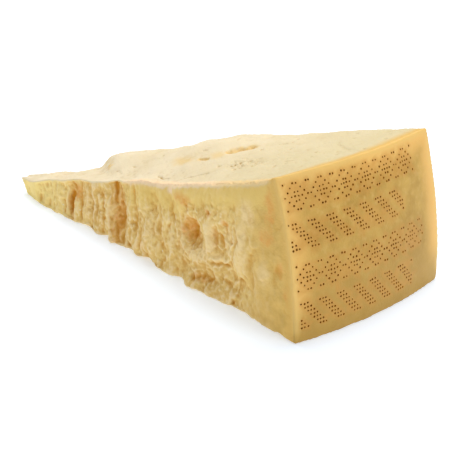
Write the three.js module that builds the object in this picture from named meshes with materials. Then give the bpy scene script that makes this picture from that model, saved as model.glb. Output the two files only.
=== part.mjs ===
// A wedge split from a wheel of hard, grainy aged cheese. It is one solid: a sector that runs from
// the rind to the wheel's centre, with two flaky split sides, a sloping split top, a flat bottom
// and a convex rind face. Millimetres, +Z up. +X runs from the thin tip to the rind.
import * as THREE from 'three';
import { mergeVertices } from 'three/addons/utils/BufferGeometryUtils.js';

// Driving dimensions
const WHEEL_RADIUS = 215; // centre of the wheel to the foot of the rind
const RIND_WIDTH = 82.5; // straight across the rind face
const RIND_HEIGHT = 62.8;
const RIND_LEAN = 12.6; // how far the rind's top edge sits back from its foot
const FRONT_PROFILE_POWER = 2.1; // the rind is upright at the foot and leans more towards the top
const BACK_PROFILE_POWER = 1.7;
const BACK_FOOT_WEAR = 1.2; // the rind's foot is worn back at its far corner
const TIP_BOTTOM_X = 26; // the tip is blunt and overhangs its own foot
const TIP_TOP_X = 20.5;
const TIP_RISE = 1.2; // the tip's top edge stands a little above the slope
const TIP_FRONT_TAPER = 0.12; // the tip's front corner is drawn in by this share of its width
const TIP_BACK_TAPER = 0.37;
const TIP_SHARE = 0.05; // share of the length over which the sides close at the tip
const TIP_BACK_TRIM = 0.3; // share of the back side's y that is left off at the tip's end
const RIND_SHARE = 0.93; // share of the length from where the sides run flat to the rind
const RIND_UNEVENNESS = 0.15; // share of the front side's hollows that is left at the rind
const CELLS_ALONG = 66; // facets from tip to rind
const CELLS_ACROSS = 15; // facets from front to back
const CELLS_UP = 17; // facets from bottom to top

const CHEESE_COLOUR = 0xe3cd96;
const CHEESE_ROUGHNESS = 0.62;

const TOP_X = WHEEL_RADIUS - RIND_LEAN; // the rind's top edge
const TOP_SLOPE = RIND_HEIGHT / TOP_X; // the top plane passes through the wheel's centre
const BACK_SPREAD = RIND_WIDTH / WHEEL_RADIUS; // the back plane, y for each x
const BACK_LEAN = (RIND_WIDTH - BACK_SPREAD * TOP_X) / RIND_HEIGHT; // and y for each z

// Vertical flutes in the front face: where along the chunk, half width, depth, and how far they
// drift along the chunk for each millimetre up.
const FRONT_FLUTES = [
  { x: 42, halfWidth: 4, depth: 0.9, drift: 0.1 },
  { x: 65, halfWidth: 3.4, depth: 3.6, drift: 0.15 },
  { x: 90, halfWidth: 2.6, depth: 1.8, drift: -0.05 },
  { x: 100.5, halfWidth: 3.6, depth: 5.4, drift: -0.03 },
  { x: 117, halfWidth: 3, depth: 1.5, drift: -0.25 },
  { x: 131, halfWidth: 3.2, depth: 1.6, drift: -0.3 },
  { x: 143, halfWidth: 3, depth: 1.2, drift: -0.3 },
];
const BACK_FLUTES = [
  { x: 52, halfWidth: 4, depth: 2.2, drift: 0.1 },
  { x: 83, halfWidth: 4.5, depth: 3.6, drift: -0.1 },
  { x: 112, halfWidth: 3.5, depth: 2.4, drift: 0.2 },
  { x: 127, halfWidth: 4, depth: 3.8, drift: 0.12 },
  { x: 158, halfWidth: 5, depth: 2.6, drift: -0.2 },
];

// The share of a flute's depth at the foot and at the top edge, and the shares of the height over
// which it fades to them.
const FLUTE_FOOT = { depth: 0.3, end: 0.3 };
const FLUTE_TOP = { depth: 0.35, start: 0.8, end: 0.97 };

// Places where the front face is broken back along its foot (positive depth) or stands out, and
// how high these breaks reach.
const FOOT_BREAKS = [
  { x: 54, halfWidth: 4, depth: -1 },
  { x: 75.5, halfWidth: 7, depth: 3.3 },
  { x: 92.5, halfWidth: 3.2, depth: 4.8 },
  { x: 109, halfWidth: 5.5, depth: 2.3 },
  { x: 123.8, halfWidth: 4.4, depth: 5 },
  { x: 145, halfWidth: 3.5, depth: 3.3 },
];
const FOOT_BREAK_HEIGHT = 9;

// Rounded hollows (positive depth) and lobes (negative depth) of the split faces.
const FRONT_LUMPS = [
  { x: 154.8, z: 24.6, radiusX: 7.4, radiusZ: 5.8, depth: 3.2 },
  { x: 164.6, z: 25.5, radiusX: 4.4, radiusZ: 9.5, depth: -1.4 },
  { x: 157, z: 14.5, radiusX: 8.5, radiusZ: 3.6, depth: -1.1 },
  { x: 171, z: 27, radiusX: 3.6, radiusZ: 5, depth: 1.6 },
  { x: 184, z: 29.5, radiusX: 4.5, radiusZ: 13, depth: -1.6 },
  { x: 158, z: 7.5, radiusX: 13, radiusZ: 4.6, depth: 2.2 },
  { x: 178, z: 12, radiusX: 9, radiusZ: 5, depth: 1.4 },
  { x: 203.5, z: 24, radiusX: 4, radiusZ: 4, depth: 1.1 },
];
const BACK_LUMPS = [
  { x: 98, z: 16, radiusX: 10, radiusZ: 8, depth: -2.4 },
  { x: 142, z: 30, radiusX: 11, radiusZ: 10, depth: 3.4 },
  { x: 168, z: 18, radiusX: 10, radiusZ: 12, depth: -2.2 },
  { x: 184, z: 42, radiusX: 8, radiusZ: 8, depth: 2.2 },
];

// Layers of random unevenness: how long and how high the lumps are, how deep, and which stretch
// of the endless pattern they show.
const FRONT_GRAIN = [
  { length: 9, height: 26, depth: 1.1, shiftX: 0, shiftZ: 3 },
  { length: 4.4, height: 13, depth: 0.7, shiftX: 0, shiftZ: 9 },
  { length: 30, height: 17, depth: 1.2, shiftX: 1.5, shiftZ: 5 },
];
const FRONT_DENSE_GRAIN = [{ length: 14, height: 12, depth: 0.5, shiftX: 0, shiftZ: 0 }];
const BACK_GRAIN = [
  { length: 10, height: 22, depth: 1.2, shiftX: 40, shiftZ: 0 },
  { length: 4.8, height: 12, depth: 0.7, shiftX: 70, shiftZ: 0 },
  { length: 28, height: 20, depth: 1.4, shiftX: 11, shiftZ: 2 },
];
const FRONT_DENSE = { start: 180, end: 200 }; // towards the rind the paste is denser
const BACK_DENSE = { start: 182, end: 204 };

// The front top edge is worn to a narrow slope between these places along the chunk.
const WORN_EDGE = { start: 120, full: 126, fade: 192, end: 203, depth: 2.6, height: 6 };

// The flakes of the top, highest at the back: where each starts at the back and at the front edge,
// its height, and the half width of its step at the back and at the front. They thin out towards
// the rind.
const TOP_FLAKES = [
  { back: 61, front: 95, curve: 1.4, height: 6.2, backRamp: 1, frontRamp: 6 },
  { back: 106.5, front: 116.5, curve: 1, height: 1.6, backRamp: 1.5, frontRamp: 2.5 },
];
const FLAKE_THINNING = { start: 122, end: 196 };
const BACK_SHARE = { start: 0.08, end: 0.72 }; // shares of the width over which the flakes rise
const BACK_HUMPS = [
  { x: 36, halfWidth: 10, height: 1.2 },
  { x: 45.5, halfWidth: 4, height: -1 },
  { x: 56.5, halfWidth: 3.6, height: 1.4 },
  { x: 70, halfWidth: 9, height: 0.6 },
  { x: 95, halfWidth: 6, height: -0.5 },
  { x: 126, halfWidth: 8, height: 0.4 },
  { x: 145, halfWidth: 12, height: -0.8 },
  { x: 180, halfWidth: 14, height: 1.8 },
  { x: 195, halfWidth: 4, height: 1 },
];

// The front top edge is lower beyond the places where thin flakes came off it, and rises again
// (negative depth) towards the rind.
const FRONT_DROPS = [
  { start: 66, end: 96, depth: 1.2 },
  { start: 120, end: 126, depth: 1.2 },
  { start: 158, end: 178, depth: -1 },
];
const FRONT_DROP_SHARE = 0.3; // share of the width that they reach in from the front
const TOP_CALM = { start: 204, length: 12 }; // the top runs flat into the rind's edge

// Waves of the top: how long, how many of them from front to back, how high, and which stretch of
// the endless pattern they show.
const TOP_WAVES = [
  { length: 12, across: 5, height: 0.5, shift: 20 },
  { length: 5, across: 11, height: 0.25, shift: 0 },
];

// Chips of the tip's end: how many from front to back, how high, how deep, and over which share
// of the chunk's length they reach.
const TIP_CHIPS = { across: 4, height: 3, depth: 1.2, share: 0.03 };

const mix = (from, to, share) => from + (to - from) * share;
const smooth = THREE.MathUtils.smoothstep;
const bell = (distance, halfWidth) => Math.exp(-((distance / halfWidth) ** 2));
const sum = (list, value) => list.reduce((total, item) => total + value(item), 0);

// A fixed number from 0 to 1 for each whole-number pair.
function lattice(i, j) {
  const wave = Math.sin(i * 127.1 + j * 311.7) * 43758.5453;
  return wave - Math.floor(wave);
}

// Smooth unevenness from -1 to 1 that varies over about one unit.
function unevenness(x, y) {
  const i = Math.floor(x);
  const j = Math.floor(y);
  const shareX = smooth(x - i, 0, 1);
  const shareY = smooth(y - j, 0, 1);
  const near = mix(lattice(i, j), lattice(i + 1, j), shareX);
  const far = mix(lattice(i, j + 1), lattice(i + 1, j + 1), shareX);
  return mix(near, far, shareY) * 2 - 1;
}

function grain(layers, x, z) {
  return sum(layers, (layer) => layer.depth
    * unevenness(x / layer.length + layer.shiftX, z / layer.height + layer.shiftZ));
}

function flutes(list, x, z) {
  const top = TOP_SLOPE * x;
  const offFoot = mix(FLUTE_FOOT.depth, 1, smooth(z / top, 0, FLUTE_FOOT.end));
  const offTop = mix(1, FLUTE_TOP.depth, smooth(z / top, FLUTE_TOP.start, FLUTE_TOP.end));
  return offFoot * offTop * sum(list, (flute) => {
    const middle = flute.x + flute.drift * (z - top / 2);
    return flute.depth * bell(x - middle, flute.halfWidth);
  });
}

function lumps(list, x, z) {
  return sum(list, (lump) => {
    const reach = ((x - lump.x) / lump.radiusX) ** 2 + ((z - lump.z) / lump.radiusZ) ** 2;
    return lump.depth * Math.exp(-reach * reach);
  });
}

function wornEdge(x, z) {
  const { start, full, fade, end, depth, height } = WORN_EDGE;
  const belowTop = TOP_SLOPE * x - z;
  return depth * smooth(x, start, full) * (1 - smooth(x, fade, end)) * (1 - smooth(belowTop, 0, height));
}

function footBreaks(x, z) {
  const nearFoot = 1 - smooth(z, 0, FOOT_BREAK_HEIGHT);
  return nearFoot * sum(FOOT_BREAKS, (piece) => piece.depth * bell(x - piece.x, piece.halfWidth));
}

// How far the cheese is hollowed below the flat split planes.
function frontHollow(x, z) {
  const towardsRind = smooth(x, FRONT_DENSE.start, FRONT_DENSE.end);
  const rough = mix(grain(FRONT_GRAIN, x, z), grain(FRONT_DENSE_GRAIN, x, z), towardsRind);
  const broken = flutes(FRONT_FLUTES, x, z) + lumps(FRONT_LUMPS, x, z) + footBreaks(x, z);
  return rough + broken + wornEdge(x, z);
}

function backHollow(x, z) {
  const loose = 1 - smooth(x, BACK_DENSE.start, BACK_DENSE.end);
  return grain(BACK_GRAIN, x, z) * loose + flutes(BACK_FLUTES, x, z) + lumps(BACK_LUMPS, x, z);
}

// The flakes and humps of the top, and the lower stretch of its front edge.
function topRelief(x, across) {
  const flakes = sum(TOP_FLAKES, ({ back, front, curve, height, backRamp, frontRamp }) => {
    const start = mix(back, front, (1 - across) ** curve);
    const ramp = mix(frontRamp, backRamp, across);
    return height * smooth(x, start - ramp, start + ramp);
  });
  const thinning = 1 - smooth(x, FLAKE_THINNING.start, FLAKE_THINNING.end);
  const humps = sum(BACK_HUMPS, (hump) => hump.height * bell(x - hump.x, hump.halfWidth));
  const towardsBack = smooth(across, BACK_SHARE.start, BACK_SHARE.end);
  const atFront = 1 - smooth(across, 0, FRONT_DROP_SHARE);
  const drop = atFront * sum(FRONT_DROPS, (step) => step.depth * smooth(x, step.start, step.end));
  const waves = sum(TOP_WAVES, (wave) => wave.height
    * unevenness(x / wave.length + wave.shift, across * wave.across));
  const offRind = THREE.MathUtils.clamp((TOP_CALM.start - x) / TOP_CALM.length, 0, 1);
  return (flakes * thinning + humps * offRind) * towardsBack + (waves - drop) * offRind;
}

// The rind bulges out as the arc of the wheel's rim.
function rimBulge(y) {
  const fromMiddle = y - RIND_WIDTH / 2;
  const edge = Math.sqrt(WHEEL_RADIUS ** 2 - (RIND_WIDTH / 2) ** 2);
  return Math.sqrt(Math.max(WHEEL_RADIUS ** 2 - fromMiddle ** 2, edge ** 2)) - edge;
}

// Where a straight line along the chunk, from tip to rind, is at a share of its length.
function placeAlong(along, across, up) {
  const lean = up ** mix(FRONT_PROFILE_POWER, BACK_PROFILE_POWER, across);
  const footX = WHEEL_RADIUS - BACK_FOOT_WEAR * across ** 2;
  const tipX = mix(TIP_BOTTOM_X, TIP_TOP_X, up);
  return mix(tipX, mix(footX, TOP_X, lean), along);
}

function tipChips(along, across, z) {
  const chip = TIP_CHIPS.depth * unevenness(across * TIP_CHIPS.across, z / TIP_CHIPS.height);
  return chip * (1 - smooth(along, 0, TIP_CHIPS.share));
}

// Moves one corner of the unit block, given as shares along, across and up, to its place in the
// wedge. The bottom stays flat.
function placeInWedge(along, across, up) {
  const x = placeAlong(along, across, up);
  const topX = mix(TIP_TOP_X, TOP_X, along);
  const height = TOP_SLOPE * topX + topRelief(topX, across) + TIP_RISE * bell(along, TIP_SHARE);
  const z = up * height;

  const offTip = smooth(along, 0, TIP_SHARE);
  const offRind = 1 - smooth(along, RIND_SHARE, 1);
  const flatBackY = BACK_SPREAD * x + BACK_LEAN * z;
  const taper = (1 - offTip) * mix(TIP_FRONT_TAPER, TIP_BACK_TAPER, across);
  const frontDepth = frontHollow(x, z) * offTip * mix(RIND_UNEVENNESS, 1, offRind);
  const frontY = frontDepth + flatBackY * taper;
  const backTrim = 1 - TIP_BACK_TRIM * (1 - offTip);
  const backY = (flatBackY - backHollow(x, z) * offTip * offRind) * backTrim;
  const y = mix(frontY, backY, across);

  return new THREE.Vector3(x + along * rimBulge(y) + tipChips(along, across, z), y, z);
}

// Puts the origin at the middle of the chunk's box, on the surface that it rests on.
function centreOnFloor(geometry) {
  geometry.computeBoundingBox();
  const { min, max } = geometry.boundingBox;
  geometry.translate(-(min.x + max.x) / 2, -(min.y + max.y) / 2, -min.z);
}

function cheeseChunk() {
  const block = new THREE.BoxGeometry(1, 1, 1, CELLS_ALONG, CELLS_ACROSS, CELLS_UP);
  block.deleteAttribute('normal');
  block.deleteAttribute('uv');
  const geometry = mergeVertices(block);
  const corners = geometry.getAttribute('position');
  for (let i = 0; i < corners.count; i += 1) {
    const place = placeInWedge(corners.getX(i) + 0.5, corners.getY(i) + 0.5, corners.getZ(i) + 0.5);
    corners.setXYZ(i, place.x, place.y, place.z);
  }
  centreOnFloor(geometry);
  geometry.computeVertexNormals();
  const material = new THREE.MeshStandardMaterial({
    color: CHEESE_COLOUR,
    roughness: CHEESE_ROUGHNESS,
    metalness: 0,
  });
  const mesh = new THREE.Mesh(geometry, material);
  mesh.name = 'cheese_chunk';
  return mesh;
}

const chunk = new THREE.Group();
chunk.add(cheeseChunk());

export default chunk;
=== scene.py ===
import math
import random

import bmesh
import bpy
import numpy as np
from mathutils import Matrix, Vector, noise
from mathutils.bvhtree import BVHTree
from mathutils.kdtree import KDTree


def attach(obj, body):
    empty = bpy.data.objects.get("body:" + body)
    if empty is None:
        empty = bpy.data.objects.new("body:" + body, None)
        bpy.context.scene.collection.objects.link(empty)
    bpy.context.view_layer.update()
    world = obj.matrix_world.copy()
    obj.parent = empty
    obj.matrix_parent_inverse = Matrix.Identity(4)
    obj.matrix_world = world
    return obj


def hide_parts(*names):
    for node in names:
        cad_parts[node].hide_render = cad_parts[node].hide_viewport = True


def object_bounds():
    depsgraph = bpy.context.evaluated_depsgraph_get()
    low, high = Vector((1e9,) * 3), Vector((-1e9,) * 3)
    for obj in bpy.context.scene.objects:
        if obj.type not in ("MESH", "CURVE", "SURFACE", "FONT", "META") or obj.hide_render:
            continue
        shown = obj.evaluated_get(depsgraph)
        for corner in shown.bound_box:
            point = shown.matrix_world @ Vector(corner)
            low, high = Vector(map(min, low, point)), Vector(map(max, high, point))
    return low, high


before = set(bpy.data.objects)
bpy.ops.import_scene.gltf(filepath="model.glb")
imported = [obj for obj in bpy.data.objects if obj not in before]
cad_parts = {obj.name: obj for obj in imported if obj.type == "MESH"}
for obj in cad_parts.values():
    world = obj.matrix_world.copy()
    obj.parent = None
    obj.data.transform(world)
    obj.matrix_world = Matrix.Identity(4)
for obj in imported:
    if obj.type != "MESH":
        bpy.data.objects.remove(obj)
cad_low, cad_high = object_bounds()


# ---- Camera -----------------------------------------------------------------------------------
# A short telephoto lens a little above the chunk, off the corner between the split side and the
# rind, so that the rind stands nearest.
MM = 0.001
CAMERA_PLACE = (347.54 * MM, -288.73 * MM, 206.68 * MM)
CAMERA_DOWN = math.radians(24.353)
CAMERA_TURN = math.radians(49.378)
SENSOR_WIDTH = 36
PICTURE_WIDTH = 458
FOCAL_LENGTH_IN_PIXELS = 1100

scene = bpy.context.scene
camera_data = bpy.data.cameras.new("camera")
camera_data.sensor_width = SENSOR_WIDTH
camera_data.lens = SENSOR_WIDTH * (FOCAL_LENGTH_IN_PIXELS / PICTURE_WIDTH)
camera = bpy.data.objects.new("camera", camera_data)
scene.collection.objects.link(camera)
camera.location = CAMERA_PLACE
camera.rotation_euler = (math.pi / 2 - CAMERA_DOWN, 0, CAMERA_TURN)
scene.camera = camera


# ---- The chunk: its body ----------------------------------------------------------------------
# One piece of grainy aged cheese, prised off a wheel with a short stout blade. Here its plain
# solid is rounded at the worn edges and given an even skin, fine enough for flakes and grains.
MERGE_DISTANCE = 0.001 * MM
SHARP_ANGLE = math.radians(42)
EDGE_CREASE = 0.9
ROUNDING_LEVELS = 2
FINE_CELL = 0.44 * MM


def baked(obj):
    """The object's mesh with its modifiers applied."""
    evaluated = obj.evaluated_get(bpy.context.evaluated_depsgraph_get())
    mesh = bpy.data.meshes.new_from_object(evaluated)
    obj.modifiers.clear()
    obj.data = mesh
    return mesh


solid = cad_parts["cheese_chunk"]
chunk = bpy.data.objects.new("cheese", bpy.data.meshes.new("cheese"))
scene.collection.objects.link(chunk)

bm = bmesh.new()
bm.from_mesh(solid.data)
bmesh.ops.remove_doubles(bm, verts=bm.verts, dist=MERGE_DISTANCE)
bmesh.ops.join_triangles(bm, faces=bm.faces, angle_face_threshold=math.pi, angle_shape_threshold=math.pi)
crease = bm.edges.layers.float.new("crease_edge")
for edge in bm.edges:
    if edge.calc_face_angle(0) > SHARP_ANGLE:
        edge[crease] = EDGE_CREASE
bm.to_mesh(chunk.data)
bm.free()

rounding = chunk.modifiers.new("rounding", "SUBSURF")
rounding.levels = rounding.render_levels = ROUNDING_LEVELS
remesh = chunk.modifiers.new("even skin", "REMESH")
remesh.mode = "VOXEL"
remesh.voxel_size = FINE_CELL
body = baked(chunk)


# ---- The chunk: which face is which -----------------------------------------------------------
# The rind is the end that faces +X, the top and the underside are flatter splits, and the rest are
# the two flaky sides and the tip. Each point of the skin learns how far it is from the rind, the
# top and the front, and how much it belongs to each face.

# How squarely a facet has to face its way to count, as a part of its normal.
RIND_FACING = 0.72
TOP_FACING = 0.75
FRONT_FACING = 0.7
STEP_FACING_UP = 0.25
STEP_FACING_TIP = 0.5

RIND_DEPTH = 22 * MM
WHEEL_CENTRE_X = -119.4 * MM
TOP_SLOPE = 0.31
LOWEST_STEP = 0.8  # the height of the lowest step, as a share of the slope's

# Where the border of a face starts and ends, in mm from the face.
RIND_BORDER = (0.4, 1.6)
TOP_BORDER = (0.3, 1.8)
FLOOR_BORDER = (0.2, 1.4)
FRONT_BORDER = (0.0, 0.3)  # as a part of the normal


def patch_tree(keep):
    """A search tree of the solid's faces for which keep(normal, centre) is true."""
    part = bmesh.new()
    part.from_mesh(solid.data)
    unwanted = [f for f in part.faces if not keep(f.normal, f.calc_center_median())]
    bmesh.ops.delete(part, geom=unwanted, context="FACES")
    tree = BVHTree.FromBMesh(part)
    part.free()
    return tree


def places_of(mesh):
    """The places of the mesh's points, one row for each."""
    values = np.empty(len(mesh.vertices) * 3, np.float32)
    mesh.vertices.foreach_get("co", values)
    return values.reshape(-1, 3).astype(float)


def put_places(mesh, places):
    """Moves the mesh's points to the places, held inside the solid's box."""
    held = np.clip(places, np.array(cad_low), np.array(cad_high))
    mesh.vertices.foreach_set("co", held.astype(np.float32).ravel())
    mesh.update()


def normals_of(mesh):
    """The way that each of the mesh's points faces."""
    values = np.empty(len(mesh.vertices) * 3, np.float32)
    mesh.vertex_normals.foreach_get("vector", values)
    return values.reshape(-1, 3).astype(float)


def relaxed(mesh, values, rounds):
    """Each point's value averaged with its neighbours', several times over."""
    pairs = np.empty(len(mesh.edges) * 2, np.int32)
    mesh.edges.foreach_get("vertices", pairs)
    ends = np.concatenate([pairs[0::2], pairs[1::2]])
    others = np.concatenate([pairs[1::2], pairs[0::2]])
    count = len(mesh.vertices)
    degree = np.bincount(ends, minlength=count)
    for _ in range(rounds):
        sums = [np.bincount(ends, values[others, k], count) for k in range(values.shape[1])]
        values = 0.5 * values + 0.5 * np.stack(sums, 1) / degree[:, None]
    return values


def eased(values, start, end):
    """0 at start, 1 at end, with a smooth change between."""
    share = np.clip((values - start) / (end - start), 0, 1)
    return share * share * (3 - 2 * share)


def between(first, second, share):
    """The first value where the share is 0, and the second where it is 1."""
    return first + (second - first) * share


def millimetres_from(tree, places):
    """How far each place is from the faces in the tree."""
    return np.array([tree.find_nearest(Vector(p))[3] for p in places]) / MM


def is_rind(normal, centre):
    """The end of the chunk that faces +X."""
    return normal.x > RIND_FACING and centre.x > cad_high.x - RIND_DEPTH


def is_top(normal, centre):
    """The sloping top, and the steps of its flakes, which face the tip."""
    near_slope = centre.z > LOWEST_STEP * TOP_SLOPE * (centre.x - WHEEL_CENTRE_X)
    is_step = normal.z > STEP_FACING_UP and normal.x < -STEP_FACING_TIP and near_slope
    return normal.z > TOP_FACING or is_step


def is_front(normal, centre):
    """The split side that faces -Y."""
    return normal.y < -FRONT_FACING and not is_rind(normal, centre)


rind_tree = patch_tree(is_rind)
split_tree = patch_tree(lambda normal, centre: not is_rind(normal, centre))
top_tree = patch_tree(is_top)
front_tree = patch_tree(is_front)

places = places_of(body)
outward = relaxed(body, normals_of(body), rounds=6)
from_rind = millimetres_from(rind_tree, places)
from_top = millimetres_from(top_tree, places)
from_front = millimetres_from(front_tree, places)
x, y, z = places.T / MM

on_rind = 1 - eased(from_rind, *RIND_BORDER)
on_top = (1 - eased(from_top, *TOP_BORDER)) * (1 - on_rind)
on_floor = 1 - eased(z, *FLOOR_BORDER)
on_side = np.clip(1 - on_rind - on_top - on_floor, 0, 1)
on_front = on_side * eased(-outward[:, 1], *FRONT_BORDER)


# ---- The chunk: how its sides broke -----------------------------------------------------------
# Grainy paste parts round its grains: into tilted flakes with low crests between them, crumbled in
# patches, and into flutes towards the tip, where the blade tore it upwards. Under the top edge and
# near the rind it is denser and breaks cleaner. All in mm.
OCTAVE_FINER = 2.1  # each octave of the noise is this many times finer than the last
OCTAVE_FALL = 1.0  # and weaker by that number to this power
SLOPE_SPREAD = 7.3  # spreads the middles of the flakes, so that neighbours slope differently

# How rough the sides are in their calmer places, as a share of the rest, and the stretches over
# which that changes: away from the rind, along x or down from the top edge.
ROUGH_AT_RIND = 0.22
RIND_STRETCH = (13, 40)
ROUGH_UNDER_EDGE = 0.45
UNDER_EDGE_X = (-22, 8)
UNDER_EDGE_DEPTH = (6, 11)
ROUGH_AT_TIP = 0.6
TIP_STRETCH = (-92, -62)

# Where along x the flutes weaken, how much of them is left, and where they end.
FLUTES_WEAKEN = (-8, 38)
FLUTES_LEFT = 0.3
FLUTES_END = (38, 60)

# Where the noise of the crumbled patches makes them start and reach their full strength, and how
# crumbled the rest is.
CRUMBLED_FROM = (-0.1, 0.35)
CRUMBLED_ELSEWHERE = 0.25

# How large each kind of break is, along x, y and z.
WANDER_SIZE = (7, 7, 9)
SLAB_SIZE = (9, 9, 14)
SIDE_FLAKE_SIZE = (4.8, 4.8, 8)
CHIP_SIZE = (2.1, 2.1, 3.0)
FLUTE_SIZE = (4.6, 9, 34)
FINE_FLUTE_SIZE = (1.9, 6, 16)
CREST_SIZE = (5.5, 5.5, 15)
CRUMBLED_PATCH = (12, 12, 10)
GRAIN_SIZE = (1.8, 1.8, 2.2)
CRUMB_SIZE = (1.5, 1.5, 1.5)

# How far the breaks stray from their pattern, and how high flutes, crests and grains are.
WANDER = 1.7
FLUTE_DEPTH = 1.7
FINE_FLUTE_DEPTH = 0.5
CREST_HEIGHT = 0.5
CREST_TOP = 0.4  # how high a crest stands above the flakes, as a share of its height
CREST_STEEPNESS = 2
GRAIN_HEIGHT = 0.4

# How much of each kind of flake the sides show, and how much of flakes and crests the flutes leave.
SLAB_SHARE = 0.75
SIDE_FLAKE_SHARE = 0.6
CHIP_SHARE = 0.45
FLAKES_IN_FLUTES = 0.3
CRESTS_IN_FLUTES = 0.6

# How deep the gaps between the crumbs are, and how much deeper where the paste is crumbled.
CRUMB_GAPS = 0.1
CRUMBLED_GAPS = 0.2


def field(points, size, octaves=1):
    """Smooth noise at each point, about -1 to 1. Its blobs are size, (x, y, z), mm large."""
    scaled = points / (np.array(size) * MM)
    return np.array([noise.fractal(Vector(p), OCTAVE_FALL, OCTAVE_FINER, octaves) for p in scaled])


def flakes(points, size, tilt, step):
    """Flat flakes, each with a slope and a height of its own, in mm."""
    scaled = points / (np.array(size) * MM)
    heights = np.empty(len(points))
    for i, p in enumerate(scaled):
        centre = noise.voronoi(Vector(p))[1][0]
        slope = noise.cell_vector(centre * SLOPE_SPREAD)
        across = Vector(p) - centre
        sloped = across.x * (slope.x - 0.5) + across.z * (slope.z - 0.5)
        heights[i] = tilt * sloped + step * (slope.y - 0.5)
    return heights


def crumbs(points, size):
    """Round grains packed side by side: 0 at a grain's middle, up to 1 in the gaps."""
    scaled = points / (np.array(size) * MM)
    return np.array([min(noise.voronoi(Vector(p))[0][0], 1.0) for p in scaled])


# The number added to the places sets each kind of break apart from the others.
wander = np.stack([field(places + apart, WANDER_SIZE, octaves=2) for apart in (0.0, 0.31, 0.67)], 1)
strayed = places + WANDER * MM * wander

under_edge = eased(x, *UNDER_EDGE_X) * (1 - eased(from_top, *UNDER_EDGE_DEPTH))
loose = on_side * between(ROUGH_AT_RIND, 1, eased(from_rind, *RIND_STRETCH))
loose = loose * between(1, ROUGH_UNDER_EDGE, under_edge) * between(ROUGH_AT_TIP, 1, eased(x, *TIP_STRETCH))
fluted = between(1, FLUTES_LEFT, eased(x, *FLUTES_WEAKEN)) * (1 - eased(x, *FLUTES_END))
crumbling = field(places + 0.9, CRUMBLED_PATCH, octaves=2)
crumbled = between(CRUMBLED_ELSEWHERE, 1, eased(crumbling, *CRUMBLED_FROM))

slabs = flakes(strayed, SLAB_SIZE, tilt=2.6, step=1.0)
side_flakes = flakes(strayed + 0.11, SIDE_FLAKE_SIZE, tilt=2.0, step=0.8)
chips = flakes(strayed + 0.23, CHIP_SIZE, tilt=1.2, step=0.5)
flutes = field(strayed, FLUTE_SIZE, octaves=2)
fine_flutes = field(strayed + 0.2, FINE_FLUTE_SIZE, octaves=2)
crests = CREST_TOP - CREST_STEEPNESS * np.abs(field(strayed + 0.7, CREST_SIZE))

breaks = loose * (
    between(1, FLAKES_IN_FLUTES, fluted) * (SLAB_SHARE * slabs + SIDE_FLAKE_SHARE * side_flakes)
    + CREST_HEIGHT * between(1, CRESTS_IN_FLUTES, fluted) * crests
    + fluted * (FLUTE_DEPTH * flutes + FINE_FLUTE_DEPTH * fine_flutes)
)
grains = loose * (
    CHIP_SHARE * crumbled * chips
    + GRAIN_HEIGHT * field(places, GRAIN_SIZE, octaves=4)
    - (CRUMB_GAPS + CRUMBLED_GAPS * crumbled) * crumbs(places, CRUMB_SIZE) ** 2
)
relief = relaxed(body, breaks[:, None], rounds=1)[:, 0] + grains


# ---- The chunk: the marks of its splitting ----------------------------------------------------
# The larger scars that this piece has: gouges and a pit with steep walls in the front side, a
# lobe and a dimple beside it, lips and ledges below, and a gash, hairline cracks and nicks in
# the top. Places are mm from the middle of the chunk.

# Ovals in the front side: x, z, the two radii, how far they stand out and how steep they are.
FRONT_OVALS = [
    (32.5, 25.0, 4.6, 4.4, -0.8, 2),
    (47.0, 26.0, 2.6, 8.5, 0.4, 1),
    (51.6, 27.6, 2.4, 4.0, -0.6, 1.5),
    (55.8, 35.5, 1.7, 1.3, -0.6, 2),
    (46.0, 37.1, 1.3, 1.1, -0.7, 2),
    (34.2, 36.3, 0.7, 0.7, 0.6, 1),
    (78.2, 23.0, 3.2, 4.0, 0.4, 1),
    (86.3, 27.2, 2.0, 3.4, -0.4, 1),
]

# Cuts and lips in the front side: their route in x and z, their width, and their height.
FRONT_CUTS = [
    ([(-55.4, 1), (-54, 13)], 5.5, -1.2),
    ([(-18.5, 1), (-21.2, 14), (-21.8, 27)], 6.5, -1.8),
    ([(-33.2, 5), (-34.4, 21)], 3.5, -0.9),
    ([(-28.5, 8), (-28.6, 22)], 3.0, -0.5),
    ([(-2.8, 2), (0.3, 11), (0, 20)], 5.0, -0.8),
    ([(17.4, 10), (17.5, 22)], 5.0, -0.8),
    ([(31.0, 14.5), (25.6, 18.4), (22.4, 24)], 3.2, 0.8),
    ([(31.5, 38), (31.0, 33)], 1.8, -0.7),
    ([(60.4, 22), (62, 26), (63.9, 31.5), (62.2, 36)], 2.4, -0.9),
    ([(63.4, 21), (66.6, 32)], 5.0, 0.5),
    ([(46.5, 16.6), (49, 19), (52, 19.8), (55.5, 18.7)], 2.4, 0.7),
    ([(47, 14.6), (51, 16.8), (55.5, 16.0)], 2.8, -0.8),
    ([(34, 4.6), (39.2, 5.7), (44.6, 6.7)], 3.4, -0.8),
    ([(34, 8), (44, 10)], 3.0, 0.4),
    ([(53, 9), (60, 8.5)], 3.4, -0.6),
    ([(72.7, 40), (69.6, 29.4), (66.7, 19)], 4.0, 0.4),
]

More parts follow.
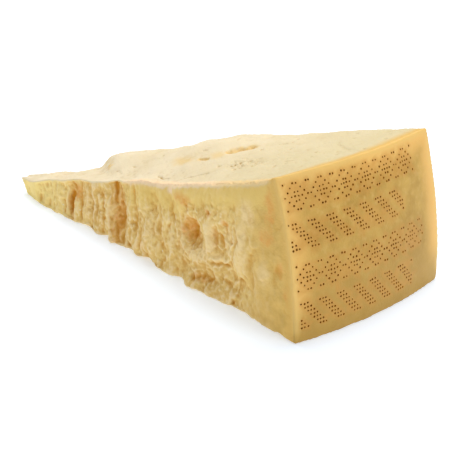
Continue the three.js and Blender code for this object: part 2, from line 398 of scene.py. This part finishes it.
# Cuts in the top: their route in x and y, their width, and their depth.
GASH = [(22.8, -8.8), (25.2, -5.6), (28.2, -1.6)]
SLOT = [(13.8, -18.6), (17.4, -17.2)]
TOP_CUTS = [
    (GASH, 5.0, 1.5),
    (SLOT, 2.0, 0.9),
    ([(2.5, -31.9), (6.5, -32.5), (10.6, -32.3)], 1.4, 0.8),
    ([(15.5, -35.0), (22.8, -31.0), (30.3, -28.2)], 1.4, 0.9),
    ([(-31.7, -29.8), (-29.7, -29.8)], 1.4, 0.5),
    ([(-24.2, -25.2), (-22.4, -25.0)], 1.4, 0.5),
    ([(-12.7, -33.6), (-10.7, -33.6)], 1.4, 0.5),
    ([(38.7, 2.6), (41.4, 5.1)], 1.5, 0.8),
    ([(60.8, -14.3), (64.2, -13.4)], 1.3, 0.7),
    ([(67.8, -7.6), (69.8, -6.8)], 1.5, 0.8),
    ([(67.2, -2.0), (69.2, -1.6)], 1.4, 0.7),
    ([(57.6, 9.2), (59.4, 10.0)], 1.4, 0.7),
    ([(8.8, -12.4), (10.6, -12.0)], 1.4, 0.6),
]
TOP_CUT_REACH = (1.5, 3.5)  # how far below the top they fade out
TOP_CUT_WANDER = 0.8
TOP_CUT_FRAY = 0.25
TOP_CUT_UNEVENNESS = 0.5
FRAY_SIZE = (2.2, 2.2, 2.2)


def scar(across, up, radii, hardness=1.0):
    """1 inside an oval, falling to 0 outside it, the more steeply the harder it is."""
    reach = (across / radii[0]) ** 2 + (up / radii[1]) ** 2
    return np.exp(-reach ** (1 + hardness))


def cut(first, second, route, width):
    """1 along the middle of a cut through the points of route, and 0 from half its width."""
    nearest = np.full(len(first), np.inf)
    for (x0, y0), (x1, y1) in zip(route, route[1:]):
        run, rise = x1 - x0, y1 - y0
        along = ((first - x0) * run + (second - y0) * rise) / (run ** 2 + rise ** 2)
        along = np.clip(along, 0, 1)
        gap = np.hypot(first - x0 - along * run, second - y0 - along * rise)
        nearest = np.minimum(nearest, gap)
    return np.clip(1 - 2 * nearest / width, 0, 1)


stray_x, stray_y, stray_z = strayed.T / MM
for oval_x, oval_z, radius_x, radius_z, height, hardness in FRONT_OVALS:
    oval = scar(stray_x - oval_x, stray_z - oval_z, (radius_x, radius_z), hardness)
    relief += height * on_front * oval
for route, width, height in FRONT_CUTS:
    relief += height * on_front * cut(stray_x, stray_z, route, width)

near_top = 1 - eased(from_top, *TOP_CUT_REACH)
frayed = field(places, FRAY_SIZE, octaves=2)
bent_x = x + TOP_CUT_WANDER * wander[:, 0] + TOP_CUT_FRAY * frayed
bent_y = y + TOP_CUT_WANDER * wander[:, 1] - TOP_CUT_FRAY * frayed
uneven = 1 + TOP_CUT_UNEVENNESS * frayed
for route, width, depth in TOP_CUTS:
    relief -= depth * near_top * cut(bent_x, bent_y, route, width) * uneven


# ---- The chunk: its top, rind and underside ---------------------------------------------------
# The top split cleanly, so it is smooth but for thin flakes, a few small eyes and one torn patch,
# and its front edge has worn to a slope. The rind was pressed by the mould and rubbed. The
# underside is a split with shallow hollows. All in mm.
TOP_FLAKE_SIZE = (16, 9, 16)
TOP_WAVE_SIZE = (7, 7, 7)
TOP_WAVE_HEIGHT = 0.3
EYES_APART = (7.5, 7.5, 7.5)
EYE_DEPTH = 0.5
EYE_RIM = (0.05, 0.13)  # where an eye's wall starts and ends, as a share of their distance
EYE_UNEVENNESS = 0.8
TORN_PLACE = (43, -18)
TORN_RADII = (10, 5.5)
TORN_DEPTH = 0.6
TORN_CHIPS = 1.6
TORN_FLAKES = 0.5
GASH_SURROUND_WIDTH = 11
GASH_SURROUND_DEPTH = 0.5
WORN_WIDTH = (1, 5)
WORN_FROM_X = (-20, -5)
WORN_CRUMB_SIZE = (1.9, 1.9, 1.9)
WORN_CRUMBS = 0.3
WORN_CHIPS = 0.35
WORN_FLAKES = 0.2
RIND_WAVE_SIZE = (11, 11, 11)
RIND_WAVE_HEIGHT = 0.12
UNDER_HOLLOW_SIZE = (9, 9, 9)
UNDER_HOLLOW_DEPTH = 0.7
UNDER_HOLLOW_FROM = (0.05, 0.6)
UNDER_RIND_WIDTH = (4, 10)
RESTING_BELOW = 0.25 * MM  # points lower than this lie flat on the table
MOST_TRIANGLES = 164000


def triangles_in(mesh):
    """How many triangles the mesh's faces make."""
    return sum(len(face.vertices) - 2 for face in mesh.polygons)


top_flakes = flakes(strayed + 0.37, TOP_FLAKE_SIZE, tilt=0.3, step=0.1)
from_eye = crumbs(places + 0.5, EYES_APART) * (1 + EYE_UNEVENNESS * frayed)
torn = scar(bent_x - TORN_PLACE[0], bent_y - TORN_PLACE[1], TORN_RADII)
torn = torn * (TORN_DEPTH - TORN_CHIPS * chips - TORN_FLAKES * side_flakes)
around_gash = cut(stray_x, stray_y, GASH, GASH_SURROUND_WIDTH)
worn_front = (1 - eased(from_front, *WORN_WIDTH)) * eased(x, *WORN_FROM_X)
worn_crumbs = WORN_CRUMBS * crumbs(places, WORN_CRUMB_SIZE)
relief += on_top * (
    top_flakes
    + TOP_WAVE_HEIGHT * field(places, TOP_WAVE_SIZE, octaves=4)
    - EYE_DEPTH * (1 - eased(from_eye, *EYE_RIM))
    - torn
    - GASH_SURROUND_DEPTH * around_gash * (1 + frayed)
    - worn_front * (worn_crumbs + WORN_CHIPS * chips + WORN_FLAKES * side_flakes)
)
relief += on_rind * RIND_WAVE_HEIGHT * field(places, RIND_WAVE_SIZE, octaves=2)
hollowed_under = eased(field(places, UNDER_HOLLOW_SIZE, octaves=3), *UNDER_HOLLOW_FROM)
hollowed_under = UNDER_HOLLOW_DEPTH * on_floor * eased(from_rind, *UNDER_RIND_WIDTH) * hollowed_under

places = places + relief[:, None] * MM * outward
places[:, 2] = np.where(places[:, 2] < RESTING_BELOW, 0, places[:, 2])
places[:, 2] += hollowed_under * MM
put_places(body, places)

# Wide plain stretches take larger faces, and the flaky sides keep theirs.
thinning = chunk.modifiers.new("larger faces where plain", "DECIMATE")
thinning.ratio = MOST_TRIANGLES / triangles_in(body)
body = baked(chunk)
put_places(body, places_of(body))


# ---- The rind: its pin marks ------------------------------------------------------------------
# Bands of small pits go round the rind, pricked into the young cheese by pins in its mould and
# darkened with age. They are plain ornament: a chain of lozenges and a slanting rope. All in mm.
PIN_PITCH = 1.4
PIN_ROWS = 7
PIN_RADIUS = 0.43
PIN_RADIUS_SPREAD = (0.8, 1.12)
PIN_DEPTH = 0.8
PIN_DEPTH_SPREAD = (0.6, 1.1)
PIN_SIDES = 8
PIN_POINT = 0.4  # a pin's radius at its inner end, as a share of its radius at the skin
PIN_SHOULDER = 1.6  # and at its outer end
PIN_START = 5  # how far in front of the rind the search for its skin starts
PLACE_JITTER = 0.08

LOZENGE_PERIOD = 8
LOZENGE_MIDDLE = (3.5, 3)
LOZENGE_RINGS = (0.5, 1.5, 3.5, 6.5)
ROPE_PERIOD = 6
ROPE_STRAND = 3


def in_lozenges(column, row):
    """An outline with a filled heart, and pins in the corners between the lozenges."""
    across, up = LOZENGE_MIDDLE
    return abs(column % LOZENGE_PERIOD - across) + abs(row - up) in LOZENGE_RINGS


def in_rope(column, row):
    """Slanting strands with gaps between them."""
    return (column + row) % ROPE_PERIOD < ROPE_STRAND


# Each band's motif, the heights of its lowest and highest row, where it starts in y, and how
# many pins long it is.
PIN_BANDS = [
    (in_lozenges, 50.4, 59.4, -38.2, 48),
    (in_rope, 36.5, 45.6, -38.9, 42),
    (in_lozenges, 21.0, 30.4, -38.5, 50),
    (in_rope, 6.1, 15.7, -37.6, 43),
]

random.seed(7)
pins = bmesh.new()
pin_places = []
for motif, low_z, high_z, first_y, columns in PIN_BANDS:
    for column in range(columns):
        for row in range(PIN_ROWS):
            pin_y = first_y + PIN_PITCH * column + random.gauss(0, PLACE_JITTER)
            pin_z = low_z + (high_z - low_z) * row / (PIN_ROWS - 1) + random.gauss(0, PLACE_JITTER)
            radius = PIN_RADIUS * random.uniform(*PIN_RADIUS_SPREAD)
            depth = PIN_DEPTH * random.uniform(*PIN_DEPTH_SPREAD)
            if not motif(column, row):
                continue
            start = Vector((cad_high.x + PIN_START * MM, pin_y * MM, pin_z * MM))
            entry, facing, _, _ = rind_tree.ray_cast(start, Vector((-1, 0, 0)))
            turn = facing.to_track_quat("Z", "Y").to_matrix().to_4x4()
            bmesh.ops.create_cone(
                pins, cap_ends=True, segments=PIN_SIDES, depth=2 * depth * MM,
                radius1=PIN_POINT * radius * MM, radius2=PIN_SHOULDER * radius * MM,
                matrix=Matrix.Translation(entry) @ turn,
            )
            pin_places.append(entry)
pin_mesh = bpy.data.meshes.new("pins")
pins.to_mesh(pin_mesh)
pins.free()
pin_cutter = bpy.data.objects.new("pins", pin_mesh)
scene.collection.objects.link(pin_cutter)
pin_mesh.materials.append(bpy.data.materials.new("pin_scorch"))
body.materials.append(bpy.data.materials.new("cheese"))

pricking = chunk.modifiers.new("pin marks", "BOOLEAN")
pricking.operation = "DIFFERENCE"
pricking.object = pin_cutter
pricking.solver = "MANIFOLD"
pricking.material_mode = "TRANSFER"
body = baked(chunk)
bpy.data.objects.remove(pin_cutter)
body.shade_smooth()

# The pits keep a sharp rim.
bm = bmesh.new()
bm.from_mesh(body)
for edge in bm.edges:
    edge.smooth = len({face.material_index for face in edge.link_faces}) == 1
bm.to_mesh(body)
bm.free()


# ---- The paste and the rind: where their colours lie ------------------------------------------
# Each point keeps how deep it is sunk, how far it is from the rind and the edges, and how much
# it is paler, partly dry paste and partly painted highlight, golden, partly stain and partly painted
# shade, or painted with the highlights of its rounded edges and the light of its tip. All in mm.

# Paler places of the front side, partly dry paste and partly painted highlight on the lit lobe, ridges and
# slopes: x, z, the two radii and the strength.
PALE_AND_HIGHLIT_OVALS = [
    (47.6, 27.0, 2.4, 8.5, 1.0),
    (35.0, 15.2, 4.5, 2.6, 1.0),
    (42.0, 18.2, 4.0, 2.8, 1.0),
    (66.0, 31.0, 2.8, 9.0, 0.9),
    (68.5, 43.5, 3.6, 6.0, 0.9),
    (51.0, 19.0, 5.0, 1.6, 0.8),
    (27.0, 18.5, 2.4, 6.0, 0.8),
    (20.5, 18.0, 2.6, 7.0, 0.5),
    (7.1, 16.5, 2.4, 7.0, 0.5),
    (57.6, 28.0, 2.4, 6.0, 0.6),
    (65.0, 22.0, 2.6, 5.0, 0.8),
    (78.0, 22.5, 3.4, 4.6, 0.6),
    (-24.0, 14.0, 1.6, 9.0, 0.7),
    (-41.5, 12.0, 2.2, 8.0, 0.4),
]

# Darker golden places of the front side, the same way: partly golden stain and partly painted shade in the
# pit, grooves, small holes and under the ledge.
GOLDEN_AND_SHADE_OVALS = [
    (32.0, 25.0, 5.0, 4.8, 1.0),
    (56.0, 35.5, 1.8, 1.6, 0.9),
    (46.3, 37.0, 1.6, 1.6, 0.9),
    (29.0, 37.0, 5.4, 2.6, 0.8),
    (31.3, 35.0, 1.0, 3.0, 0.8),
    (80.8, 50.0, 2.6, 8.5, 0.8),
    (78.8, 37.8, 4.2, 3.0, 0.8),
    (86.5, 27.5, 2.2, 3.2, 0.8),
    (90.8, 18.5, 1.6, 5.0, 0.6),
    (39.0, 6.0, 5.0, 1.6, 0.6),
    (-19.8, 13.0, 2.6, 13.0, 0.7),
    (-53.6, 8.0, 2.2, 7.5, 0.9),
    (-49.5, 15.5, 3.6, 4.0, 0.9),
]

# Golden stains of the top, beside the gash and the slot: x, y, the two radii and the strength.
TOP_STAINS = [
    (20.5, -13.5, 4, 3, 0.45),
    (5, -20.5, 6, 3, 0.5),
]
GASH_STAIN_WIDTH = 6.5
GASH_STAIN_SPREAD = 1.4
GASH_STAIN_STRENGTH = 0.8
GASH_STAIN_PATCHINESS = 0.4
SLOT_STAIN_WIDTH = 3
SLOT_STAIN_STRENGTH = 0.8

# How ragged the borders of the colours are.
RAGGED_SIZE = (2.5, 2.5, 2.5)
PATCHY_SIZE = (1.8, 1.8, 1.8)
RAGGEDNESS = 0.7
OVAL_RAGGEDNESS = 2.4
OVAL_PATCHY_FROM = (-0.25, 0.15)
OVAL_ELSEWHERE = 0.55  # an oval's strength between its patches
STAIN_RAGGEDNESS = 2

# Where the colours of the top and the front end, in mm below the top's edge and as parts of the
# normal, and how wide the top's border is at the tip, as a share of the rest.
TOP_COLOUR_START = 0.9
TOP_COLOUR_END = 2.6
TOP_COLOUR_FACING = (0.15, 0.45)
FRONT_COLOUR_FACING = (0.2, 0.55)
EDGE_WEAR_AT_TIP = 0.4
EDGE_WEAR_X = (-30, -5)

# Over how many rounds of averaging a point's sinking is told, for three sizes of hollow.
FINE_ROUNDS = 4
MIDDLE_ROUNDS = 12
BROAD_ROUNDS = 50

places = places_of(body)
outward = normals_of(body)
smooth_outward = relaxed(body, outward, rounds=3)
from_rind = millimetres_from(rind_tree, places)
from_top = millimetres_from(top_tree, places)
from_split = millimetres_from(split_tree, places)
from_front = millimetres_from(front_tree, places)
x, y, z = places.T / MM
ragged = RAGGEDNESS * field(places, RAGGED_SIZE, octaves=3)
patchy = RAGGEDNESS * field(places + 0.4, PATCHY_SIZE, octaves=4)
on_rind = 1 - eased(from_rind, *RIND_BORDER)
edge_wear = between(EDGE_WEAR_AT_TIP, 1, eased(x, *EDGE_WEAR_X))
below_top = eased(from_top + edge_wear * ragged, TOP_COLOUR_START * edge_wear, TOP_COLOUR_END * edge_wear)
on_top = (1 - below_top) * (1 - on_rind) * eased(smooth_outward[:, 2], *TOP_COLOUR_FACING)
on_front = (1 - on_top) * (1 - on_rind) * eased(-smooth_outward[:, 1], *FRONT_COLOUR_FACING)


def painted(ovals):
    """How strongly the ovals cover each point of the front side, with ragged borders."""
    off_x = OVAL_RAGGEDNESS * ragged
    off_z = OVAL_RAGGEDNESS * patchy
    strengths = [strength * scar(x - at_x + off_x, z - at_z + off_z, (wide, high))
                 for at_x, at_z, wide, high, strength in ovals]
    patches = between(OVAL_ELSEWHERE, 1, eased(patchy, *OVAL_PATCHY_FROM))
    return on_front * np.maximum.reduce(strengths) * patches


def sunk_over(rounds):
    """How far each point lies below the points around it."""
    return np.einsum("ij,ij->i", relaxed(body, places, rounds) - places, outward) / MM


stray = STAIN_RAGGEDNESS * ragged
gash_stain = cut(x + stray, y + STAIN_RAGGEDNESS * patchy, GASH, GASH_STAIN_WIDTH)
gash_stain = np.minimum(GASH_STAIN_SPREAD * gash_stain, 1)
gash_stain = gash_stain * (GASH_STAIN_STRENGTH + GASH_STAIN_PATCHINESS * patchy)
slot_stain = SLOT_STAIN_STRENGTH * cut(x, y, SLOT, SLOT_STAIN_WIDTH)
stains = [strength * scar(x - at_x + stray, y - at_y + stray, (wide, high))
          for at_x, at_y, wide, high, strength in TOP_STAINS]
top_stain = on_top * np.maximum.reduce([gash_stain, slot_stain, *stains])

beside_slope = (1 - on_rind) * (1 - eased(from_front + ragged, 1.4, 3.8))
pin_tree = KDTree(len(pin_places))
for index, place in enumerate(pin_places):
    pin_tree.insert(place, index)
pin_tree.balance()
from_pin = np.array([pin_tree.find(Vector(p))[2] for p in places]) / MM

# Each pair of numbers is where that stretch starts and where it ends.
POINT_VALUES = {
    "hollow_fine": sunk_over(FINE_ROUNDS),
    "hollow_mid": sunk_over(MIDDLE_ROUNDS),
    "hollow_broad": sunk_over(BROAD_ROUNDS),
    "near_pin": 1 - eased(from_pin, 0.5, 1.9),
    "from_rind": from_rind,
    "on_top": on_top,
    "on_rind": on_rind,
    "towards_rind": eased(x, 0, 85),
    # How low a point lies; the rind is painted darker there, as painted shade.
    "low_down": 1 - eased(z, 5, 48),
    # A band along the rind's edges: a warmer edge colour with a painted highlight, stronger on the +Y edge
    # where the side light falls.
    "rind_edge_highlight": (1 - eased(from_split, 1.5, 12)) * eased(z, 3, 20) * (0.75 + 0.25 * (y > 0)),
    # A painted highlight along the rounded edge between the rind and the split paste.
    "arris_highlight": 0.6 * (1 - eased(from_rind, 0.3, 3)) * (1 - eased(from_split, 0.3, 3)) * eased(z, 2, 6),
    # A painted highlight on the rounded slope of the top's front edge.
    "slope_highlight": beside_slope * (1 - eased(from_top + ragged, 0.3, 2.6)) * eased(x, -18, -8),
    # Where the tip is painted brighter, as painted light.
    "tip_light": 1 - eased(x, -92, -35),
    "under_edge": on_front * eased(x, -24, -6) * (1 - eased(from_top + 2 * ragged, 7, 13)),
    "top_stain": top_stain,
    # Partly golden stain and partly painted shade in the pit, grooves, small holes and under the ledge.
    "golden": painted(GOLDEN_AND_SHADE_OVALS),
    # Partly dry paste and partly painted highlight on the lit lobe, ridges and slopes.
    "pale": painted(PALE_AND_HIGHLIT_OVALS),
}
for name, values in POINT_VALUES.items():
    layer = body.attributes.new(name, "FLOAT", "POINT")
    layer.data.foreach_set("value", values.astype(np.float32))


# ---- The paste and the rind: how they look ----------------------------------------------------
# Moist straw-coloured paste with white crystals. Its hollows are darker and more golden as painted
# shade, and what stands proud is paler, partly drier paste and partly painted highlight. The rind is the
# same paste, dried hard, oiled and golden brown.


def linear(red, green, blue):
    """A colour given as it looks on a screen, 0 to 255, in the units that shaders use."""
    return tuple((c / 255 / 12.92 if c / 255 <= 0.04045 else ((c / 255 + 0.055) / 1.055) ** 2.4)
                 for c in (red, green, blue)) + (1,)


# The sides: straw, paler where proud, partly drier paste and partly painted highlight, darker and more
# golden in hollows as painted shade, yellower near the rind, and brighter at the tip as painted light.
STRAW = linear(244, 208, 126)
DEEP_STRAW = linear(230, 188, 104)
PALE_AND_HIGHLIT_CREST = linear(252, 223, 166)
FURROW_SHADE = linear(216, 164, 82)
DENSE_PASTE = linear(232, 190, 99)
DEEP_DENSE_PASTE = linear(210, 167, 78)
UPPER_PASTE = linear(242, 206, 114)
TIP_LIGHT = linear(255, 226, 142)
PALE_AND_HIGHLIT_PASTE = linear(252, 220, 156)
GOLDEN_STAIN_AND_SHADE = linear(232, 164, 76)
HOLLOW_SHADE = linear(208, 142, 24)
PASTE_AT_RIND = linear(228, 182, 92)
CRYSTAL = linear(246, 230, 192)

# The top: cream, yellower and darker towards the rind, the darkening painted shade, darker in small
# hollows as painted shade, and a painted highlight on the rounded slope of its worn front edge.
CREAM = linear(241, 224, 188)
DEEP_CREAM = linear(234, 215, 175)
CREAM_NEAR_RIND_WITH_SHADE = linear(217, 200, 150)
TOP_HOLLOW_SHADE = linear(200, 168, 104)
STAINED_TOP = linear(234, 194, 104)
SLOPE_HIGHLIGHT_CREAM = linear(253, 220, 176)
SLOPE_HIGHLIGHT_YELLOW = linear(242, 208, 146)

# The rind, painted darker low down as shade, its edges, warmer and with a painted highlight, a painted
# highlight along its rounded edge beside the paste, and its pin marks.
RIND_BROWN = linear(207, 165, 76)
DEEP_RIND_BROWN = linear(182, 140, 53)
SCUFFED_RIND = linear(218, 180, 102)
RIND_LOW_SHADE = linear(180, 140, 56)
RIND_EDGE_WITH_HIGHLIGHT = linear(244, 190, 100)
ARRIS_HIGHLIGHT = linear(238, 200, 116)
BESIDE_PINS = linear(206, 144, 56)
SCORCH = linear(162, 106, 10)
DEEP_SCORCH = linear(132, 82, 4)

# How large the patches of the mottling are, in mm.
SIDE_MOTTLING = 9
DENSE_MOTTLING = 5
TOP_MOTTLING = 14
RIND_MOTTLING = 9
SCORCH_MOTTLING = 3
MOTTLING_BORDER = (0.35, 0.65)  # where its noise turns from one colour into the other

CRYSTALS_APART = 11
CRYSTAL_RADIUS = 0.5
CRYSTAL_HEART = 0.6  # the share of a crystal's radius within which it is whitest
SCUFF_SIZE = 2.2
SCUFF_BORDER = (0.5, 0.75)
SCUFF_STRENGTH = 0.5
BUMP_ON_RIND = 0.4
BUMP_SIZE = 0.9
BUMP_DEPTH = 0.35 * MM
PASTE_ROUGHNESS = 0.7
RIND_ROUGHNESS = 0.5
SCORCH_ROUGHNESS = 0.8


def attribute(tree, name):
    """One of the values that each point keeps."""
    node = tree.nodes.new("ShaderNodeAttribute")
    node.attribute_name = name
    return node.outputs["Fac"]


def mapped(tree, value, low, high, to_low=0.0, to_high=1.0):
    """The value stretched so that low becomes to_low and high becomes to_high, and held there."""
    node = tree.nodes.new("ShaderNodeMapRange")
    node.inputs["From Min"].default_value = low
    node.inputs["From Max"].default_value = high
    node.inputs["To Min"].default_value = to_low
    node.inputs["To Max"].default_value = to_high
    tree.links.new(value, node.inputs["Value"])
    return node.outputs["Result"]


def share_by(tree, name, low=0.0, high=1.0, most=1.0):
    """A point's value as a share to mix by: 0 where it is low, and most where it is high."""
    return mapped(tree, attribute(tree, name), low, high, 0, most)


def times(tree, first, second):
    """The product of two values."""
    node = tree.nodes.new("ShaderNodeMath")
    node.operation = "MULTIPLY"
    tree.links.new(first, node.inputs[0])
    tree.links.new(second, node.inputs[1])
    return node.outputs["Value"]


def mixed(tree, share_of_second, first, second):
    """Two colours mixed. Each is a fixed colour or comes from another node."""
    node = tree.nodes.new("ShaderNodeMix")
    node.data_type = "RGBA"
    for socket, value in (("Factor", share_of_second), ("A", first), ("B", second)):
        kind = "VALUE" if socket == "Factor" else "RGBA"
        place = [s for s in node.inputs if s.name == socket and s.type == kind][0]
        if isinstance(value, bpy.types.NodeSocket):
            tree.links.new(value, place)
        else:
            place.default_value = value
    return [s for s in node.outputs if s.type == "RGBA"][0]


def layered(tree, base, layers):
    """A colour with others laid over it in turn, each by its own share."""
    for share_of_layer, layer_colour in layers:
        base = mixed(tree, share_of_layer, base, layer_colour)
    return base


def noise_at(tree, size_mm, detail=3.0):
    """Noise from 0 to 1 whose blobs are size_mm large."""
    coordinates = tree.nodes.new("ShaderNodeTexCoord")
    node = tree.nodes.new("ShaderNodeTexNoise")
    node.inputs["Scale"].default_value = 1 / (size_mm * MM)
    node.inputs["Detail"].default_value = detail
    tree.links.new(coordinates.outputs["Object"], node.inputs["Vector"])
    return node.outputs["Fac"]


# The group's own scale takes the place of the one that its noise starts with.
mottling = bpy.data.node_groups.new("mottling", "ShaderNodeTree")
mottling.interface.new_socket("Scale", in_out="INPUT", socket_type="NodeSocketFloat")
mottling.interface.new_socket("First", in_out="INPUT", socket_type="NodeSocketColor")
mottling.interface.new_socket("Second", in_out="INPUT", socket_type="NodeSocketColor")
mottling.interface.new_socket("Colour", in_out="OUTPUT", socket_type="NodeSocketColor")
given = mottling.nodes.new("NodeGroupInput").outputs
patches = noise_at(mottling, SIDE_MOTTLING)
mottling.links.new(given["Scale"], patches.node.inputs["Scale"])
in_second = mapped(mottling, patches, *MOTTLING_BORDER)
patch_colour = mixed(mottling, in_second, given["First"], given["Second"])
mottling.links.new(patch_colour, mottling.nodes.new("NodeGroupOutput").inputs["Colour"])


def mottled(tree, size_mm, first, second):
    """Two colours in soft patches, size_mm large."""
    node = tree.nodes.new("ShaderNodeGroup")
    node.node_tree = mottling
    node.inputs["Scale"].default_value = 1 / (size_mm * MM)
    node.inputs["First"].default_value = first
    node.inputs["Second"].default_value = second
    return node.outputs["Colour"]


def crystals(tree, apart_mm, radius_mm):
    """1 on small specks that lie about apart_mm from each other, and 0 between them."""
    coordinates = tree.nodes.new("ShaderNodeTexCoord")
    node = tree.nodes.new("ShaderNodeTexVoronoi")
    node.inputs["Scale"].default_value = 1 / (apart_mm * MM)
    tree.links.new(coordinates.outputs["Object"], node.inputs["Vector"])
    radius = radius_mm / apart_mm
    return mapped(tree, node.outputs["Distance"], radius, CRYSTAL_HEART * radius)


material = body.materials["cheese"]
material.use_nodes = True
tree = material.node_tree
shader = tree.nodes["Principled BSDF"]

dense_colour = mottled(tree, DENSE_MOTTLING, DENSE_PASTE, DEEP_DENSE_PASTE)
side_colour = layered(tree, mottled(tree, SIDE_MOTTLING, STRAW, DEEP_STRAW), [
    # Paler where proud, partly drier paste and partly painted highlight.
    (share_by(tree, "hollow_mid", 0.0, -0.25, 0.85), PALE_AND_HIGHLIT_CREST),
    # Darker and more golden in hollows: painted shade.
    (share_by(tree, "hollow_mid", 0.0, 0.3, 0.5), FURROW_SHADE),
    (share_by(tree, "from_rind", 34, 8, 0.8), dense_colour),
    (share_by(tree, "under_edge", most=0.7), UPPER_PASTE),
    # Painted light: the tip is brighter.
    (share_by(tree, "tip_light"), TIP_LIGHT),
    # Paler places: partly dry paste and partly painted highlight.
    (share_by(tree, "pale"), PALE_AND_HIGHLIT_PASTE),
    # Golden places: partly stain and partly painted shade.
    (share_by(tree, "golden"), GOLDEN_STAIN_AND_SHADE),
    # The broad hollows take a deep golden painted shade.
    (share_by(tree, "hollow_broad", 0.1, 0.9), HOLLOW_SHADE),
])
top_colour = layered(tree, mottled(tree, TOP_MOTTLING, CREAM, DEEP_CREAM), [
    # Towards the rind the top turns yellower and darker, the darkening painted shade.
    (share_by(tree, "towards_rind", most=0.7), CREAM_NEAR_RIND_WITH_SHADE),
    # Small hollows of the top take painted shade.
    (share_by(tree, "hollow_fine", 0.02, 0.3), TOP_HOLLOW_SHADE),
    (share_by(tree, "top_stain"), STAINED_TOP),
])
# The painted highlight of the top's sloped front edge, creamier at the tip end and yellower towards the
# rind.
slope_highlight_colour = mixed(tree, share_by(tree, "towards_rind", 0.5, 0.78), SLOPE_HIGHLIGHT_CREAM, SLOPE_HIGHLIGHT_YELLOW)
paste_colour = layered(tree, side_colour, [
    (share_by(tree, "on_top"), top_colour),
    # The painted highlight of the top's sloped front edge.
    (share_by(tree, "slope_highlight"), slope_highlight_colour),
    (share_by(tree, "from_rind", 6.0, 2.0), PASTE_AT_RIND),
    (crystals(tree, CRYSTALS_APART, CRYSTAL_RADIUS), CRYSTAL),
])
scuffs = noise_at(tree, SCUFF_SIZE, detail=5)
rind_colour = layered(tree, mottled(tree, RIND_MOTTLING, RIND_BROWN, DEEP_RIND_BROWN), [
    (mapped(tree, scuffs, *SCUFF_BORDER, 0, SCUFF_STRENGTH), SCUFFED_RIND),
    # The rind is darker low down, as painted shade.
    (share_by(tree, "low_down", most=0.75), RIND_LOW_SHADE),
    # Warmer rind edges with a painted highlight, strongest on the +Y edge.
    (share_by(tree, "rind_edge_highlight"), RIND_EDGE_WITH_HIGHLIGHT),
    (share_by(tree, "near_pin", most=0.55), BESIDE_PINS),
])
colour = layered(tree, paste_colour, [
    (share_by(tree, "on_rind"), rind_colour),
    # The painted highlight along the rounded edge between rind and paste.
    (share_by(tree, "arris_highlight"), ARRIS_HIGHLIGHT),
])
tree.links.new(colour, shader.inputs["Base Color"])

roughness = mapped(tree, attribute(tree, "on_rind"), 0, 1, PASTE_ROUGHNESS, RIND_ROUGHNESS)
tree.links.new(roughness, shader.inputs["Roughness"])
shader.inputs["Specular IOR Level"].default_value = 0.35
shader.inputs["Subsurface Weight"].default_value = 0.06
shader.inputs["Subsurface Radius"].default_value = (1.0, 0.6, 0.25)
shader.inputs["Subsurface Scale"].default_value = 1.5 * MM
bump = tree.nodes.new("ShaderNodeBump")
bump.inputs["Strength"].default_value = 0.8
bump.inputs["Distance"].default_value = BUMP_DEPTH
weaker_on_rind = mapped(tree, attribute(tree, "on_rind"), 0, 1, 1, BUMP_ON_RIND)
tree.links.new(times(tree, noise_at(tree, BUMP_SIZE, detail=4), weaker_on_rind), bump.inputs["Height"])
tree.links.new(bump.outputs["Normal"], shader.inputs["Normal"])

scorch = body.materials["pin_scorch"]
scorch.use_nodes = True
tree = scorch.node_tree
shader = tree.nodes["Principled BSDF"]
tree.links.new(mottled(tree, SCORCH_MOTTLING, SCORCH, DEEP_SCORCH), shader.inputs["Base Color"])
shader.inputs["Roughness"].default_value = SCORCH_ROUGHNESS
shader.inputs["Specular IOR Level"].default_value = 0.2

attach(chunk, "root")
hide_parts("cheese_chunk")


# ---- The table and the light ------------------------------------------------------------------
# A white table top that glows a little, as a lit acrylic sheet does, under a large soft box, with
# a smaller one on the rind's side. Metres and watts.
TABLE_SIZE = 6.0
TABLE_COLOUR = (0.76, 0.84, 0.94, 1)
TABLE_ROUGHNESS = 0.9
GLOW_COLOUR = (0.9, 0.94, 1, 1)
GLOW_STRENGTH = 0.385
ROOM_COLOUR = (1, 1, 1, 1)
ROOM_STRENGTH = 0.465

bm = bmesh.new()
bmesh.ops.create_grid(bm, x_segments=1, y_segments=1, size=TABLE_SIZE / 2)
floor_mesh = bpy.data.meshes.new("floor")
bm.to_mesh(floor_mesh)
bm.free()
floor = bpy.data.objects.new("floor", floor_mesh)
scene.collection.objects.link(floor)
acrylic = bpy.data.materials.new("pale_table")
acrylic.use_nodes = True
acrylic_inputs = acrylic.node_tree.nodes["Principled BSDF"].inputs
acrylic_inputs["Base Color"].default_value = TABLE_COLOUR
acrylic_inputs["Roughness"].default_value = TABLE_ROUGHNESS
acrylic_inputs["Emission Color"].default_value = GLOW_COLOUR
acrylic_inputs["Emission Strength"].default_value = GLOW_STRENGTH
floor_mesh.materials.append(acrylic)

world = bpy.data.worlds.new("studio")
scene.world = world
world.use_nodes = True
world.node_tree.nodes["Background"].inputs["Color"].default_value = ROOM_COLOUR
world.node_tree.nodes["Background"].inputs["Strength"].default_value = ROOM_STRENGTH


def soft_light(name, place, size, power):
    """A round soft box that faces the chunk."""
    data = bpy.data.lights.new(name, "AREA")
    data.shape = "DISK"
    data.size = size
    data.energy = power
    light = bpy.data.objects.new(name, data)
    scene.collection.objects.link(light)
    light.location = place
    light.rotation_euler = (-Vector(place)).to_track_quat("-Z", "Y").to_euler()


soft_light("overhead", place=(-0.27, 0.25, 1.0), size=0.9, power=8.2)
soft_light("right", place=(0.85, 0.2, 0.5), size=0.5, power=2.15)

scene.view_settings.view_transform = "Standard"
scene.view_settings.look = "None"


# ---- The scene, brought up to date ------------------------------------------------------------
bpy.context.view_layer.update()
